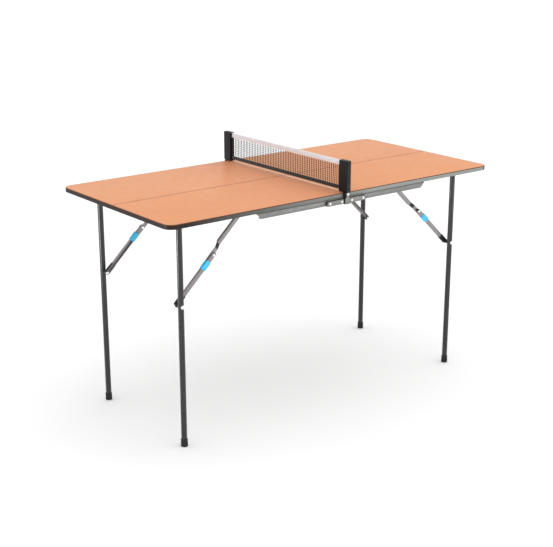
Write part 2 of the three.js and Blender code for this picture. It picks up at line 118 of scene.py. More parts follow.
STAY_ANGLE = math.radians(43.7)
BOLT_Z = 0.470
STAY_HALF = 0.007
WEB_R = 0.0014  # where a link's web turns into its side walls
LINK_WALL = 0.0018
UPPER_WALL = 0.0026
LOWER_OUTER = 0.021
LOWER_INNER = 0.0306
TAIL_OUTER = 0.031
UPPER_OUTER = 0.0376
UPPER_INNER = 0.0466
JOG = (0.024, 0.042)
FLAT = 1.04  # height of a link's flat part as a share of its wall
SHOULDER = 0.004  # past a link's end hole: here its side walls stop
NARROW = 0.87  # share of the link's width left at the shoulder
UPPER_LEFT = 0.8  # share of the side walls' height left there
LOWER_LEFT = 0.75
END_TURN = 86  # degrees of a round end, a little short of its tip
TAIL_TIP = 0.0006  # half the width of the upper link's tail at its tip
KNEE_BACK = 0.002  # the lower link's round end is centred this far past the knee
TAIL_REACH = 0.0255
COLLAR_START = 0.026
COLLAR_LONG = 0.033
COLLAR_HALF = 0.0089
COLLAR_WALL = 0.0015
COLLAR_CLEAR = 0.00035
COLLAR_R = 0.0024
COLLAR_BORE_R = 0.0006
COLLAR_SWELL = 0.0005
KNEE_SHADE = 0.0045  # past the knee rivet the lower link's end is dark: painted shade
CAP_REACH = 0.036  # black end cap of the lower link, from the leg bolt
CAP_SKIN = 0.0005

STAY_BASE = (0.022, 0.003)  # plate of the stay's bracket: half its length, corner radius
STAY_BASE_OUT = 0.008  # past the ears, towards the table's side
STAY_BASE_IN = 0.010
EAR_HALF = 0.009
EAR_R = 0.007
EAR_THICK = 0.002
EAR_CLEAR = (0.0008, 0.0006)  # outer and inner

POST_IN = 0.299
POST_OUT = 0.340
POST_HALF = 0.00975
POST_SPAN = (0.763, 0.866)
POST_WALL = 0.0018
POST_R = 0.004
POST_RIM = 0.0016
POST_CAP = 0.004  # thickness of the post's closed top
BRACKET_FOOT = (RAIL_LOW - 0.002, 0.743)
BRACKET_HALF = 0.011
BRACKET_FILLET = 0.003
NECK_HALF = 0.006
STEM_HALF = 0.0045
STEM_TOP = 0.846
SCREW_Z = 0.757
REACH = POST_IN - GAP
TOP_TAPE = (0.848, 0.864)
BOTTOM_TAPE = (0.7675, 0.780)
TAPE_HALF = 0.002
TAPE_R = 0.0012

# The net's strands: spacing along it and up it, then radii.
COLUMN = 0.0094
ROW = 0.0066
UPRIGHT_R = 0.00108
THREAD_R = 0.0005
KNOT_R = 0.0012
LEAN = 0.0004  # how far an upright may lean at its top
HEM_HALF = 0.0022
HEM_THICK_HALF = 0.0009
HEM_R = 0.0008

# Rounding of rims.
PANEL_RIM = 0.0005
SHEET_RIM = 0.0004
FINE_RIM = 0.0003
HEM_RIM = 0.0002

# Domed heads: radius, depth below the face, straight lip above it, height of the dome.
LEAF_RIVET = (0.0042, 0.001, 0.0003, 0.0018)
KNEE_RIVET = (0.005, 0.001, 0.0008, 0.0016)
POST_SCREW = (0.005, 0.002, 0.0004, 0.0022)
HEAD_STEP = 0.0002  # from the lip to the dome
SINK = 0.001  # how far other small parts reach into their neighbour
KNEE_CROWN_R = 0.0049
KNEE_CROWN = 0.0022
KNEE_LIP = 0.0006
EYE_R = 0.0048  # bolt end in the lower link's eye
EYE_CROWN = 0.002
BOLT_R = 0.0055
BOLT_SUNK = 0.003
WASHER_R = 0.0062
WASHER_THICK = 0.0009
BOLT_CROWN_R = 0.0052
BOLT_CROWN = 0.0025
SPACER_R = 0.0065
SPACER_CLEAR = 0.0005  # from the link's web
SPACER_TAPER = 0.0016
PIN_HEAD_R = 0.0044
PIN_CROWN = 0.0012
PIN_R = 0.0028
PIN_RIM = 0.0005

AXIS_R = 1e-5  # stands for a point on a turned part's axis
MERGE = 2e-6

rise = PIVOT_Z - BOLT_Z
run = rise / math.tan(STAY_ANGLE)
stay_length = rise / math.sin(STAY_ANGLE)
upper_length = (stay_length - (run - rise)) / 2
lower_length = stay_length - upper_length
bracket_x = LEG_X - run

# ---- marks painted in the materials: the centre line, and painted light and shade ----
CENTRE_LINE = 0.002  # half its width
LINE_END = HALF_LENGTH - 0.004
SEAM_SHADE = (-0.0022, 0.0014)  # painted shade of the seam's gap, a dark line: middle and half its width, along X
SEAM_HIGHLIGHT = (0.006, 0.006)  # painted highlight on the right half's seam edge, a light strip, the same way
NET_SHADE = (-0.34, -0.03)  # painted shade of the net: the left half darkens between these X
BAND_REFLECTION = (-0.62, 0.10)  # painted reflection: the long edges turn pale between these X
BAND_SIDE = 0.004  # how near the long sides the painted reflection begins
BAND_END = 0.025  # how far from the right end it stops
BAND_SHADE_LINE = 0.0024  # painted shade, a brown line under the band's upper rim

SIDES = {"left": -1, "right": 1}
EDGES = {"front": -1, "back": 1}


# ---- light ----
WORLD_LIGHT = 1.0
FLOOR_REACH = 60
FLOOR_DROP = 0.0005
FLOOR_GLOW = 0.06  # keeps the shade under the table faint
LAMPS = (  # name, direction of its light, strength, and how wide it is in degrees
    ("soft_top", (-0.5, 0.3, -1.0), 0.34, 60),
    ("soft_front", (0.5, 1.0, -0.5), 0.27, 40),
)
STRIPS = (  # softboxes that show only in gloss: name, place, where it points, size and power
    ("strip_left", (-2.3, 0.3, 0.35), (0, 0, 0.35), (0.35, 0.7), 18),
    ("strip_right", (1.6, -2.4, 0.35), (0, 0, 0.35), (0.35, 0.7), 7),
)


# ---- materials ----
def linear(red, green, blue):
    """A screen colour, 0 to 255, as linear light."""
    shares = [v / 255 for v in (red, green, blue)]
    return (*[s / 12.92 if s < 0.04045 else ((s + 0.055) / 1.055) ** 2.4 for s in shares], 1)


class Nodes:
    """A material's node tree, with short calls for the nodes used here."""

    def __init__(self, name):
        self.material = bpy.data.materials.new(name)
        self.material.use_nodes = True
        self.tree = self.material.node_tree
        self.shader = self.tree.nodes["Principled BSDF"]
        self.place = self.add("ShaderNodeTexCoord").outputs["Object"]

    def add(self, kind, **settings):
        node = self.tree.nodes.new(kind)
        for key, value in settings.items():
            setattr(node, key, value)
        return node

    def link(self, value, socket):
        if isinstance(value, bpy.types.NodeSocket):
            self.tree.links.new(value, socket)
        else:
            socket.default_value = value

    def math(self, operation, a, b=0.0):
        node = self.add("ShaderNodeMath", operation=operation)
        self.link(a, node.inputs[0])
        self.link(b, node.inputs[1])
        return node.outputs[0]

    def near(self, value, middle, reach):
        """1 where the value lies within reach of the middle, 0 elsewhere."""
        share = self.math("COMPARE", value, middle)
        share.node.inputs[2].default_value = reach
        return share

    def stretched(self, scale):
        node = self.add("ShaderNodeMapping")
        self.link(self.place, node.inputs["Vector"])
        node.inputs["Scale"].default_value = scale
        return node.outputs[0]

    def noise(self, scale, detail=3.0, where=None):
        node = self.add("ShaderNodeTexNoise")
        self.link(where or self.place, node.inputs["Vector"])
        node.inputs["Scale"].default_value = scale
        node.inputs["Detail"].default_value = detail
        return node.outputs["Fac"]

    def spread(self, value, low, high, start=0.3, end=0.7):
        node = self.add("ShaderNodeMapRange")
        self.link(value, node.inputs["Value"])
        ends = {"From Min": start, "From Max": end, "To Min": low, "To Max": high}
        for name, number in ends.items():
            node.inputs[name].default_value = number
        return node.outputs[0]

    def mix(self, share, a, b):
        node = self.add("ShaderNodeMix", data_type="RGBA")
        self.link(share, node.inputs[0])
        self.link(a, node.inputs[6])
        self.link(b, node.inputs[7])
        return node.outputs[2]

    def axes(self):
        node = self.add("ShaderNodeSeparateXYZ")
        self.link(self.place, node.inputs[0])
        return node.outputs

    def bump(self, height, depth, strength=1.0):
        node = self.add("ShaderNodeBump")
        self.link(height, node.inputs["Height"])
        node.inputs["Distance"].default_value = depth
        node.inputs["Strength"].default_value = strength
        self.link(node.outputs[0], self.shader.inputs["Normal"])

    def set(self, **sockets):
        for name, value in sockets.items():
            self.link(value, self.shader.inputs[name.replace("_", " ")])


def finish(name, colour, other, rough, patch=9.0, grain=900.0, depth=0.00003, metallic=0.0,
           **sockets):
    """A surface that drifts between two colours, with its own spread of roughness and a fine
    grain."""
    nodes = Nodes(name)
    drift = nodes.noise(patch)
    speckle = nodes.noise(grain, 2.0)
    share = nodes.math("ADD", nodes.spread(drift, 0.0, 0.75), nodes.spread(speckle, 0.0, 0.25))
    nodes.set(
        Base_Color=nodes.mix(share, linear(*colour), linear(*other)),
        Roughness=nodes.spread(nodes.noise(patch * 6, 4.0), *rough),
        Metallic=metallic,
        **sockets,
    )
    nodes.bump(speckle, depth)
    return nodes.material


def top_material():
    """Matt orange laminate with a fine stipple, a brown centre line, a grey backing sheet, and at the
    seam painted shade as a dark line and a painted highlight as a light strip. Painted shade of the
    net darkens the left half near it."""
    nodes = Nodes("orange_laminate")
    x, y, z = nodes.axes()
    inside = nodes.math("LESS_THAN", nodes.math("ABSOLUTE", x), LINE_END)
    centre = nodes.math("LESS_THAN", nodes.math("ABSOLUTE", y), CENTRE_LINE)
    line = nodes.math("MULTIPLY", centre, inside)
    stipple = nodes.noise(1600.0, 2.0)
    drift = nodes.spread(nodes.noise(3.5, 4.0), 0.0, 0.8)
    cloud = nodes.math("ADD", drift, nodes.spread(stipple, 0.0, 0.2))
    ground = nodes.mix(cloud, linear(227, 156, 108), linear(222, 149, 103))
    # painted shade of the net on the left half
    left = nodes.math("LESS_THAN", x, 0.0)
    painted_net_shade = nodes.math("MULTIPLY", nodes.spread(x, 0.0, 1.0, *NET_SHADE), left)
    ground = nodes.mix(painted_net_shade, ground, linear(220, 145, 102))
    # painted shade of the seam's gap
    seam = nodes.near(x, *SEAM_SHADE)
    # painted highlight on the right half's seam edge
    strip = nodes.near(x, *SEAM_HIGHLIGHT)
    ground = nodes.mix(strip, ground, linear(246, 190, 152))
    face = nodes.mix(nodes.math("MAXIMUM", line, seam), ground, linear(138, 68, 42))
    backing = nodes.mix(cloud, linear(118, 112, 106), linear(106, 101, 96))
    under = nodes.math("LESS_THAN", z, BOARD_LOW + BACKING)
    nodes.set(
        Base_Color=nodes.mix(under, face, backing),
        Roughness=nodes.spread(nodes.noise(40.0), 0.42, 0.54),
        Specular_IOR_Level=0.2,
    )
    nodes.bump(stipple, 0.00004)
    return nodes.material


def band_material():
    """Edge band: dark brown, with a painted reflection turning it pale grey along the long sides, and
    painted shade as a brown line at its upper rim."""
    nodes = Nodes("edge_band_pvc")
    x, y, z = nodes.axes()
    # painted reflection: the long sides turn pale grey along X
    along = nodes.spread(x, 0.0, 1.0, *BAND_REFLECTION)
    at_side = nodes.math("GREATER_THAN", nodes.math("ABSOLUTE", y), HALF_WIDTH - BAND_SIDE)
    before_end = nodes.math("LESS_THAN", x, HALF_LENGTH - BAND_END)
    long_side = nodes.math("MULTIPLY", at_side, before_end)
    speckle = nodes.noise(500.0, 2.0)
    dark = nodes.mix(speckle, linear(50, 39, 36), linear(38, 30, 28))
    pale = nodes.mix(speckle, linear(152, 155, 150), linear(138, 141, 137))
    body = nodes.mix(nodes.math("MULTIPLY", along, long_side), dark, pale)
    # painted shade: a brown line under the upper rim, where the top's edge shades the band
    rim = nodes.math("GREATER_THAN", z, TOP - BAND_SHADE_LINE)
    nodes.set(
        Base_Color=nodes.mix(rim, body, linear(96, 60, 44)),
        Roughness=nodes.spread(nodes.noise(60.0), 0.38, 0.54),
        Specular_IOR_Level=0.16,
    )
    nodes.bump(speckle, 0.00005)
    return nodes.material


def woven(name, colour, other, pitch, sheen=0.3):
    """Woven tape: fine threads across and along the tape's face."""
    nodes = Nodes(name)
    _, y, z = nodes.axes()
    along = nodes.math("SINE", nodes.math("MULTIPLY", y, math.tau / pitch))
    across = nodes.math("SINE", nodes.math("MULTIPLY", z, math.tau / pitch))
    thread = nodes.math("ADD", nodes.math("MULTIPLY", along, across), nodes.noise(1200.0))
    wash = nodes.noise(25.0)
    nodes.set(
        Base_Color=nodes.mix(nodes.spread(wash, 0.0, 1.0), linear(*colour), linear(*other)),
        Roughness=nodes.spread(nodes.noise(300.0), 0.78, 0.95),
        Sheen_Weight=sheen,
    )
    nodes.bump(thread, pitch / 8)
    return nodes.material


def brushed(name, colour, other, rough, stretch, **sockets):
    """Plated or bare steel with drawing marks along one axis."""
    nodes = Nodes(name)
    marks = nodes.noise(400.0, 4.0, nodes.stretched(stretch))
    wear = nodes.noise(35.0, 5.0)
    nodes.set(
        Base_Color=nodes.mix(nodes.spread(wear, 0.0, 1.0), linear(*colour), linear(*other)),
        Roughness=nodes.spread(marks, *rough),
        **sockets,
    )
    nodes.bump(marks, 0.00003)
    return nodes.material


TOP_FACE = top_material()
BAND_PVC = band_material()
RAIL_PAINT = finish("rail_paint", (118, 119, 118), (107, 108, 106), (0.32, 0.45), metallic=0.35,
                    grain=700.0)
STAY_PAINT = finish("stay_paint", (152, 147, 148), (137, 132, 132), (0.3, 0.44), metallic=0.35,
                    grain=700.0)
LEAF_ZINC = brushed("leaf_zinc", (127, 125, 121), (111, 109, 105), (0.34, 0.48), (1, 30, 30),
                    Metallic=0.5)
# painted shade for the stays: the crank of the upper link and the lower link's end past the knee
STAY_SHADE = finish("stay_painted_shade", (30, 29, 29), (20, 19, 19), (0.4, 0.55), grain=700.0)
BRIGHT = brushed("bright_steel", (250, 250, 252), (236, 237, 240), (0.25, 0.4), (20, 20, 1),
                 Metallic=0.8)
TUBE_PAINT = finish("tube_paint", (40, 42, 43), (33, 34, 36), (0.2, 0.3), patch=14.0, grain=1200.0,
                    depth=0.00002, Coat_Weight=0.3, Coat_Roughness=0.12, Specular_IOR_Level=0.35)
RUBBER = finish("foot_rubber", (42, 41, 42), (32, 31, 32), (0.7, 0.9), grain=600.0, depth=0.0001,
                Specular_IOR_Level=0.25)
BLUE = finish("collar_blue", (78, 204, 244), (56, 188, 234), (0.3, 0.42), patch=30.0, grain=900.0,
              Specular_IOR_Level=0.4)
POST_BLACK = finish("post_black", (22, 22, 24), (15, 15, 17), (0.36, 0.5), grain=1500.0, depth=0.00005,
                    Specular_IOR_Level=0.2)
BLACK = finish("moulded_black", (24, 24, 26), (18, 18, 20), (0.45, 0.6), grain=900.0,
               Specular_IOR_Level=0.3)
STRAND = woven("net_strand", (40, 40, 43), (30, 30, 33), 0.0004, sheen=0.1)
WHITE_TAPE = woven("white_tape", (236, 240, 245), (226, 230, 236), 0.0009)
BLACK_TAPE = woven("black_tape", (30, 30, 32), (22, 22, 24), 0.0009)


# ---- mesh helpers ----
def loft(bm, rings, caps=True, around=False):
    """Joins rings of equally many points into a skin. around joins the last ring to the first."""
    made = [[bm.verts.new(p) for p in ring] for ring in rings]
    pairs = list(zip(made, made[1:]))
    if around:
        pairs.append((made[-1], made[0]))
    for a, b in pairs:
        for i in range(len(a)):
            j = (i + 1) % len(a)
            bm.faces.new((a[i], a[j], b[j], b[i]))
    if caps and not around:
        bm.faces.new(made[0][::-1])
        bm.faces.new(made[-1])


def arc(x, y, r, start, end, steps):
    """Points round (x, y) from one angle to another, in degrees."""
    turns = [math.radians(start + (end - start) * i / steps) for i in range(steps + 1)]
    return [(x + r * math.cos(t), y + r * math.sin(t)) for t in turns]


def ring_of(r, steps):
    """A circle's points, the first not repeated."""
    return arc(0, 0, r, 0, 360 * (1 - 1 / steps), steps - 1)


def rounded_box(half_x, half_y, r, x=0.0, y=0.0, steps=6):
    """An outline round (x, y), anticlockwise, with rounded corners."""
    corners = ((1, 1, 0), (-1, 1, 90), (-1, -1, 180), (1, -1, 270))
    return [p for sx, sy, a in corners
            for p in arc(x + sx * (half_x - r), y + sy * (half_y - r), r, a, a + 90, steps)]


def inset(outline, d):
    """The outline, anticlockwise, moved inward by d."""
    moved = []
    for i, p in enumerate(outline):
        a = Vector(p) - Vector(outline[i - 1])
        b = Vector(outline[(i + 1) % len(outline)]) - Vector(p)
        a.normalize()
        b.normalize()
        side = (Vector((-a.y, a.x)) + Vector((-b.y, b.x))).normalized()
        turn = max(0.35, side.dot(Vector((-a.y, a.x))))
        moved.append(tuple(Vector(p) + side * d / turn))
    return moved


def prism(bm, outline, low, high, soft=SHEET_RIM, place=Matrix()):
    """An outline raised from low to high, with rounded rims."""
    turns = [math.radians(a) for a in (0, 30, 60, 90)]
    rims = [(soft * (1 - math.sin(t)), soft * (1 - math.cos(t))) for t in turns]
    levels = [(low + up, back) for back, up in rims]
    levels += [(high - up, back) for back, up in rims[::-1]]
    loft(bm, [[place @ Vector((x, y, z)) for x, y in inset(outline, back)] for z, back in levels])


def turned(bm, profile, steps=32, place=Matrix()):
    """A closed solid of revolution about local Z from [radius, height] points."""
    rings = []
    for r, z in profile:
        circle = ring_of(max(r, AXIS_R), steps)
        rings.append([place @ Vector((x, y, z)) for x, y in circle])
    loft(bm, rings)


def dome(r, base, tall, steps=6):
    """A rounded top's profile, from its rim up to the axis."""
    return [(r * math.cos(t), base + tall * math.sin(t))
            for t in (math.radians(90 * i / steps) for i in range(steps + 1))]


def domed_head(face, r, sunk, lip, tall):
    """A rivet's or screw's profile, standing out of the face."""
    crown = dome(r - HEAD_STEP, face + lip + HEAD_STEP, tall)
    return [(0, face - sunk), (r, face - sunk), (r, face + lip), *crown]


# Local X and Y to world X and Z, local Z to world +Y.
ACROSS = Matrix(((1, 0, 0, 0), (0, 0, 1, 0), (0, 1, 0, 0), (0, 0, 0, 1)))


def facing_out(x, z):
    """Places a turned part at x and z, its axis along +Y."""
    return Matrix.Translation((x, 0, z)) @ ACROSS


# The stay's own frame: X from the knee up the upper link, Z towards the middle of the table.
knee = Vector((
    LEG_X - lower_length * math.cos(STAY_ANGLE),
    LEG_Y,
    BOLT_Z + lower_length * math.sin(STAY_ANGLE),
))
stay_axes = Matrix((
    (-math.cos(STAY_ANGLE), -math.sin(STAY_ANGLE), 0),
    (0, 0, -1),
    (math.sin(STAY_ANGLE), -math.cos(STAY_ANGLE), 0),
))
STAY = Matrix.Translation(knee) @ stay_axes.to_4x4()


def show(name, bm, material, body, stands_for=(), sx=1, sy=1, crease=38):
    """Turns a mesh made in the +X +Y quarter into a piece in its own corner, riding on its body."""
    bmesh.ops.remove_doubles(bm, verts=bm.verts, dist=MERGE)
    bm.transform(Matrix.Diagonal((sx, sy, 1, 1)))
    bmesh.ops.recalc_face_normals(bm, faces=bm.faces)
    mesh = bpy.data.meshes.new(name)
    bm.to_mesh(mesh)
    bm.free()
    mesh.polygons.foreach_set("use_smooth", [True] * len(mesh.polygons))
    mesh.set_sharp_from_angle(angle=math.radians(crease))
    mesh.materials.append(material)
    piece = bpy.data.objects.new(name, mesh)
    bpy.context.scene.collection.objects.link(piece)
    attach(piece, body)
    if stands_for:
        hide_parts(*stands_for)
    return piece


# ---- half tops ----
def half_top(back):
    """One half's outline, moved inward by back except at the seam."""
    end, side, r = HALF_LENGTH - back, HALF_WIDTH - back, CORNER_R - back
    return [(SEAM, -side), *arc(end - r, -side + r, r, -90, 0, 16),
            *arc(end - r, side - r, r, 0, 90, 16), (SEAM, side)]


def add_half(side, sx):
    bm = bmesh.new()
    prism(bm, half_top(BAND + GAP), BOARD_LOW, TOP, PANEL_RIM)
    show(f"top_panel_{side}", bm, TOP_FACE, "table_top", [f"board_{side}"], sx)

    bm = bmesh.new()
    soft, cut = BAND_RIM, BAND_RIM * 0.3
    section = [(0, BOARD_LOW + soft), (0, TOP - soft), (cut, TOP - cut), (soft, TOP),
               (BAND, TOP), (BAND, BOARD_LOW), (soft, BOARD_LOW), (cut, BOARD_LOW + cut)]
    paths = [half_top(back) for back, _ in section]
    rings = [[(*paths[k][i], z) for k, (_, z) in enumerate(section)] for i in range(len(paths[0]))]
    loft(bm, rings)
    show(f"edge_strip_{side}", bm, BAND_PVC, "table_top", [f"edge_band_{side}"], sx,
         crease=50)


# ---- side rails, hinge blocks and leaves ----
def rail_section():
    """The channel's outline in Y and Z, with bent outer corners."""
    inner, outer, low, wall = RAIL_FACE - RAIL_DEPTH, RAIL_FACE, RAIL_LOW, RAIL_WALL
    return [(inner, low), *arc(outer - BEND, low + BEND, BEND, -90, 0, 5),
            *arc(outer - BEND, UNDER - BEND, BEND, 0, 90, 5), (inner, UNDER), (inner, UNDER - wall),
            *arc(outer - BEND, UNDER - BEND, BEND - wall, 90, 0, 3),
            *arc(outer - BEND, low + BEND, BEND - wall, 0, -90, 3), (inner, low + wall)]


def add_rail(edge, sy, side, sx):
    corner = f"{edge}_{side}"
    bm = bmesh.new()
    section = rail_section()
    rim = SHEET_RIM
    small = inset(section, rim)
    loft(bm, [
        [(SEAM, y, z) for y, z in small],
        [(SEAM + rim, y, z) for y, z in section],
        [(RAIL_END - (UNDER - z) - rim, y, z) for y, z in section],
        [(RAIL_END - (UNDER - z), y, z) for y, z in small],
    ])
    show(f"rail_{corner}", bm, RAIL_PAINT, "table_top", [f"side_rail_{corner}"],
         sx, sy)

    bm = bmesh.new()
    end = LEAF_SPAN[1] - BLOCK_SHORT
    bar = rounded_box((end - GAP / 2) / 2, LEAF_HALF + GAP, BLOCK_R,
                      (end + GAP / 2) / 2, LEAF_Z + GAP, 3)
    prism(bm, bar, BLOCK_FACE, BLOCK_FACE + BLOCK_DEPTH, BLOCK_RIM, ACROSS)
    low = LEAF_Z - LEAF_HALF - BOSS_DROP
    boss = rounded_box((BOSS_HALF - GAP / 2) / 2, (BOSS_TOP - low) / 2, BLOCK_R,
                       (BOSS_HALF + GAP / 2) / 2, (BOSS_TOP + low) / 2, 3)
    prism(bm, boss, BLOCK_FACE, BLOCK_FACE + BOSS_DEPTH, BLOCK_RIM, ACROSS)
    show(f"hinge_base_{corner}", bm, BLACK, "table_top",
         [f"hinge_block_{corner}"], sx, sy)

    bm = bmesh.new()
    start, end = LEAF_SPAN
    low, high, turn = LEAF_Z - LEAF_HALF, LEAF_Z + LEAF_HALF, LEAF_TURN
    strap = [(start, low), *arc(end - turn, low + turn, turn, -90, 0, 6),
             *arc(end - turn, high - turn, turn, 0, 90, 6), (start, high)]
    prism(bm, strap, LEAF_FACE, LEAF_FACE + LEAF_THICK, PANEL_RIM, ACROSS)
    show(f"leaf_{corner}", bm, LEAF_ZINC, "table_top", [f"hinge_leaf_{corner}"],
         sx, sy)

    bm = bmesh.new()
    face = LEAF_FACE + LEAF_THICK
    for x in LEAF_RIVETS:
        turned(bm, domed_head(face, *LEAF_RIVET), 24, facing_out(x, LEAF_Z))
    show(f"leaf_rivets_{corner}", bm, BRIGHT, "table_top", (), sx, sy)


# ---- legs ----
def add_leg(edge, sy, side, sx):
    corner = f"{edge}_{side}"
    body = f"legs_{side}"
    axis = Matrix.Translation((LEG_X, LEG_Y, 0))

    bm = bmesh.new()
    turned(bm, [(0, TUBE_START), (LEG_R, TUBE_START), (LEG_R, BOLT_Z),
                *dome(LEG_R, PIVOT_Z, LEG_R, 8)], 40, axis)
    show(f"tube_{corner}", bm, TUBE_PAINT, body, [f"leg_tube_{corner}"], sx, sy)

    bm = bmesh.new()
    inner = LEG_R + GAP
    turned(bm, [(0, 0), *[(FOOT_R - back, z) for z, back in FOOT_PROFILE],
                (inner, FOOT_TALL), (inner, FOOT_SOLE), (0, FOOT_SOLE)], 40, axis)
    show(f"foot_cap_{corner}", bm, RUBBER, body, [f"leg_foot_{corner}"], sx, sy)

    bm = bmesh.new()
    head = LEG_Y + LEG_R + GAP
    place = facing_out(LEG_X, BOLT_Z)
    low, washer = head - BOLT_SUNK, head + WASHER_THICK
    turned(bm, [(0, low), (BOLT_R, low), (BOLT_R, head - HEAD_STEP), (WASHER_R, head),
                (WASHER_R, washer), *dome(BOLT_CROWN_R, washer + HEAD_STEP, BOLT_CROWN)], 32,
           place)
    show(f"bolt_head_{corner}", bm, BRIGHT, body, [f"leg_bolt_{corner}"], sx, sy)

    bm = bmesh.new()
    start, end = LEG_Y - LOWER_OUTER + SPACER_CLEAR, LEG_Y - LEG_R + SINK
    small = SPACER_R - SHEET_RIM
    turned(bm, [(0, start), (small, start), (SPACER_R, start + SHEET_RIM),
                (SPACER_R, end - SPACER_TAPER), (small, end), (0, end)], 32, place)
    show(f"bolt_spacer_{corner}", bm, BLACK, body, (), sx, sy)


def add_cross(side, sx):
    bm = bmesh.new()
    reach = LEG_Y - LEG_R - GAP
    place = facing_out(LEG_X, PIVOT_Z)
    inner = CROSS_R - TUBE_WALL
    rings = []
    for r, y in ((inner, -reach), (CROSS_R, -reach), (CROSS_R, reach), (inner, reach)):
        rings.append([place @ Vector((x, z, y)) for x, z in ring_of(r, 40)])
    loft(bm, rings, around=True)
    show(f"cross_bar_{side}", bm, TUBE_PAINT, f"legs_{side}", [f"cross_tube_{side}"],
         sx)


def add_saddle(edge, sy, side, sx):
    corner = f"{edge}_{side}"
    inner = CROSS_R + SADDLE_CLEAR
    outer = inner + SADDLE_THICK
    flange = UNDER - FLANGE_THICK
    strap = [(FLANGE_END, UNDER), (inner, UNDER), *arc(0, PIVOT_Z, inner, 0, -180, 16),
             (-inner, UNDER), (-FLANGE_END, UNDER), (-FLANGE_END, flange), (-outer, flange),
             *arc(0, PIVOT_Z, outer, 180, 360, 20), (outer, flange), (FLANGE_END, flange)]
    bm = bmesh.new()
    prism(bm, strap, *SADDLE_SPAN, FINE_RIM, facing_out(LEG_X, 0))
    show(f"saddle_{corner}", bm, RAIL_PAINT, "table_top",
         [f"pivot_saddle_{corner}"], sx, sy)

    bm = bmesh.new()
    y, r, sunk = sum(SADDLE_SPAN) / 2, SADDLE_SCREW_R, SADDLE_SCREW_SUNK
    for x in (-SADDLE_SCREW_X, SADDLE_SCREW_X):
        place = Matrix.Translation((LEG_X + x, y, flange)) @ Matrix.Diagonal((1, 1, -1, 1))
        turned(bm, [(0, -sunk), (r, -sunk), *dome(r, HEAD_STEP, SADDLE_SCREW_CROWN)], 24, place)
    show(f"saddle_screws_{corner}", bm, BRIGHT, "table_top", (), sx, sy)


# ---- folding stays ----
def link_section(x, half, base, tall, wall):
    """A channel's outline at x along the stay: web at base, side walls rising inward to
    base + tall. In narrow sections the roundings and walls shrink in proportion."""
    r = min(WEB_R, half * 0.4)
    inner = half - min(wall, half * 0.45)
    web = [*arc(-half + r, base + r, r, 180, 270, 3), *arc(half - r, base + r, r, 270, 360, 3)]
    tips = [(half, base + tall), (inner, base + tall), (inner, base + wall),
            (-inner, base + wall), (-inner, base + tall), (-half, base + tall)]
    return [STAY @ Vector((x, y, z)) for y, z in web + tips]


def round_end(centre, r, sign, wall, base, steps=8):
    """Sections that close a link with a flat round end, from its shoulder outward. The first
    three steps lie where the side walls still stand, so they are left out."""
    sections = []
    for i in range(4, steps + 1):
        t = math.radians(END_TURN * i / steps)
        x = centre + sign * r * math.sin(t)
        sections.append(link_section(x, r * math.cos(t), base, wall * FLAT, wall))
    return sections


def upper_link_sections():
    """From the tail past the knee, through the crank, to the bracket."""
    flat = UPPER_WALL * FLAT
    tall = UPPER_INNER - UPPER_OUTER
    turn = math.asin(STAY_HALF / TAIL_REACH)
    tail = []
    for i in range(7):
        t = turn * i / 6
        tail.append((-TAIL_REACH * math.cos(t), max(TAIL_TIP, TAIL_REACH * math.sin(t))))
    tail += [(0.0, STAY_HALF), (JOG[0], STAY_HALF)]
    sections = [link_section(x, half, TAIL_OUTER, flat, UPPER_WALL) for x, half in tail]
    for i in range(1, 7):
        share = i / 6
        ease = share * share * (3 - 2 * share)
        base = TAIL_OUTER + (UPPER_OUTER - TAIL_OUTER) * ease
        x = JOG[0] + (JOG[1] - JOG[0]) * share
        sections.append(link_section(x, STAY_HALF, base, flat, UPPER_WALL))
    # Where the side walls stand, and at which share of their full height.
    walls = ((JOG[1] + 0.001, 0.5), (JOG[1] + 0.003, 0.85), (JOG[1] + 0.006, 1.0),
             (upper_length - 0.002, 1.0), (upper_length + 0.002, 0.93))
    sections += [link_section(x, STAY_HALF, UPPER_OUTER, tall * share, LINK_WALL)
                 for x, share in walls]
    sections += [link_section(upper_length + SHOULDER, STAY_HALF * NARROW, UPPER_OUTER,
                              tall * UPPER_LEFT, LINK_WALL)]
    return sections + round_end(upper_length, STAY_HALF, 1, LINK_WALL, UPPER_OUTER)


def lower_link_sections(tall):
    """From the leg bolt up to the knee."""
    end = -lower_length
    sections = round_end(end, STAY_HALF, -1, LINK_WALL, LOWER_OUTER)[::-1]
    sections += [link_section(end - SHOULDER, STAY_HALF * NARROW, LOWER_OUTER,
                              tall * LOWER_LEFT, LINK_WALL)]
    walls = ((end - 0.001, 0.93), (end + 0.004, 1), (-0.001, 1), (0.003, 0.93))
    sections += [link_section(x, STAY_HALF, LOWER_OUTER, tall * share, LINK_WALL)
                 for x, share in walls]
    sections += [link_section(KNEE_BACK + SHOULDER, STAY_HALF * NARROW, LOWER_OUTER,
                              tall * LOWER_LEFT, LINK_WALL)]
    return sections + round_end(KNEE_BACK, STAY_HALF, 1, LINK_WALL, LOWER_OUTER)


def end_cap_sections(tall):
    """A thin shell round the lower link's leg end."""
    end, skin = -lower_length, CAP_SKIN
    shell = [(end + CAP_REACH, skin), (end + CAP_REACH - 0.001, 2 * skin), (end - 0.001, 2 * skin)]
    sections = [link_section(x, STAY_HALF + out, LOWER_OUTER - out, tall + out, LINK_WALL)
                for x, out in shell]
    sections += [link_section(end - SHOULDER, STAY_HALF * NARROW + skin, LOWER_OUTER - 2 * skin,
                              tall * UPPER_LEFT, LINK_WALL)]
    return sections + round_end(end, STAY_HALF + 2 * skin, -1, LINK_WALL, LOWER_OUTER - 2 * skin)


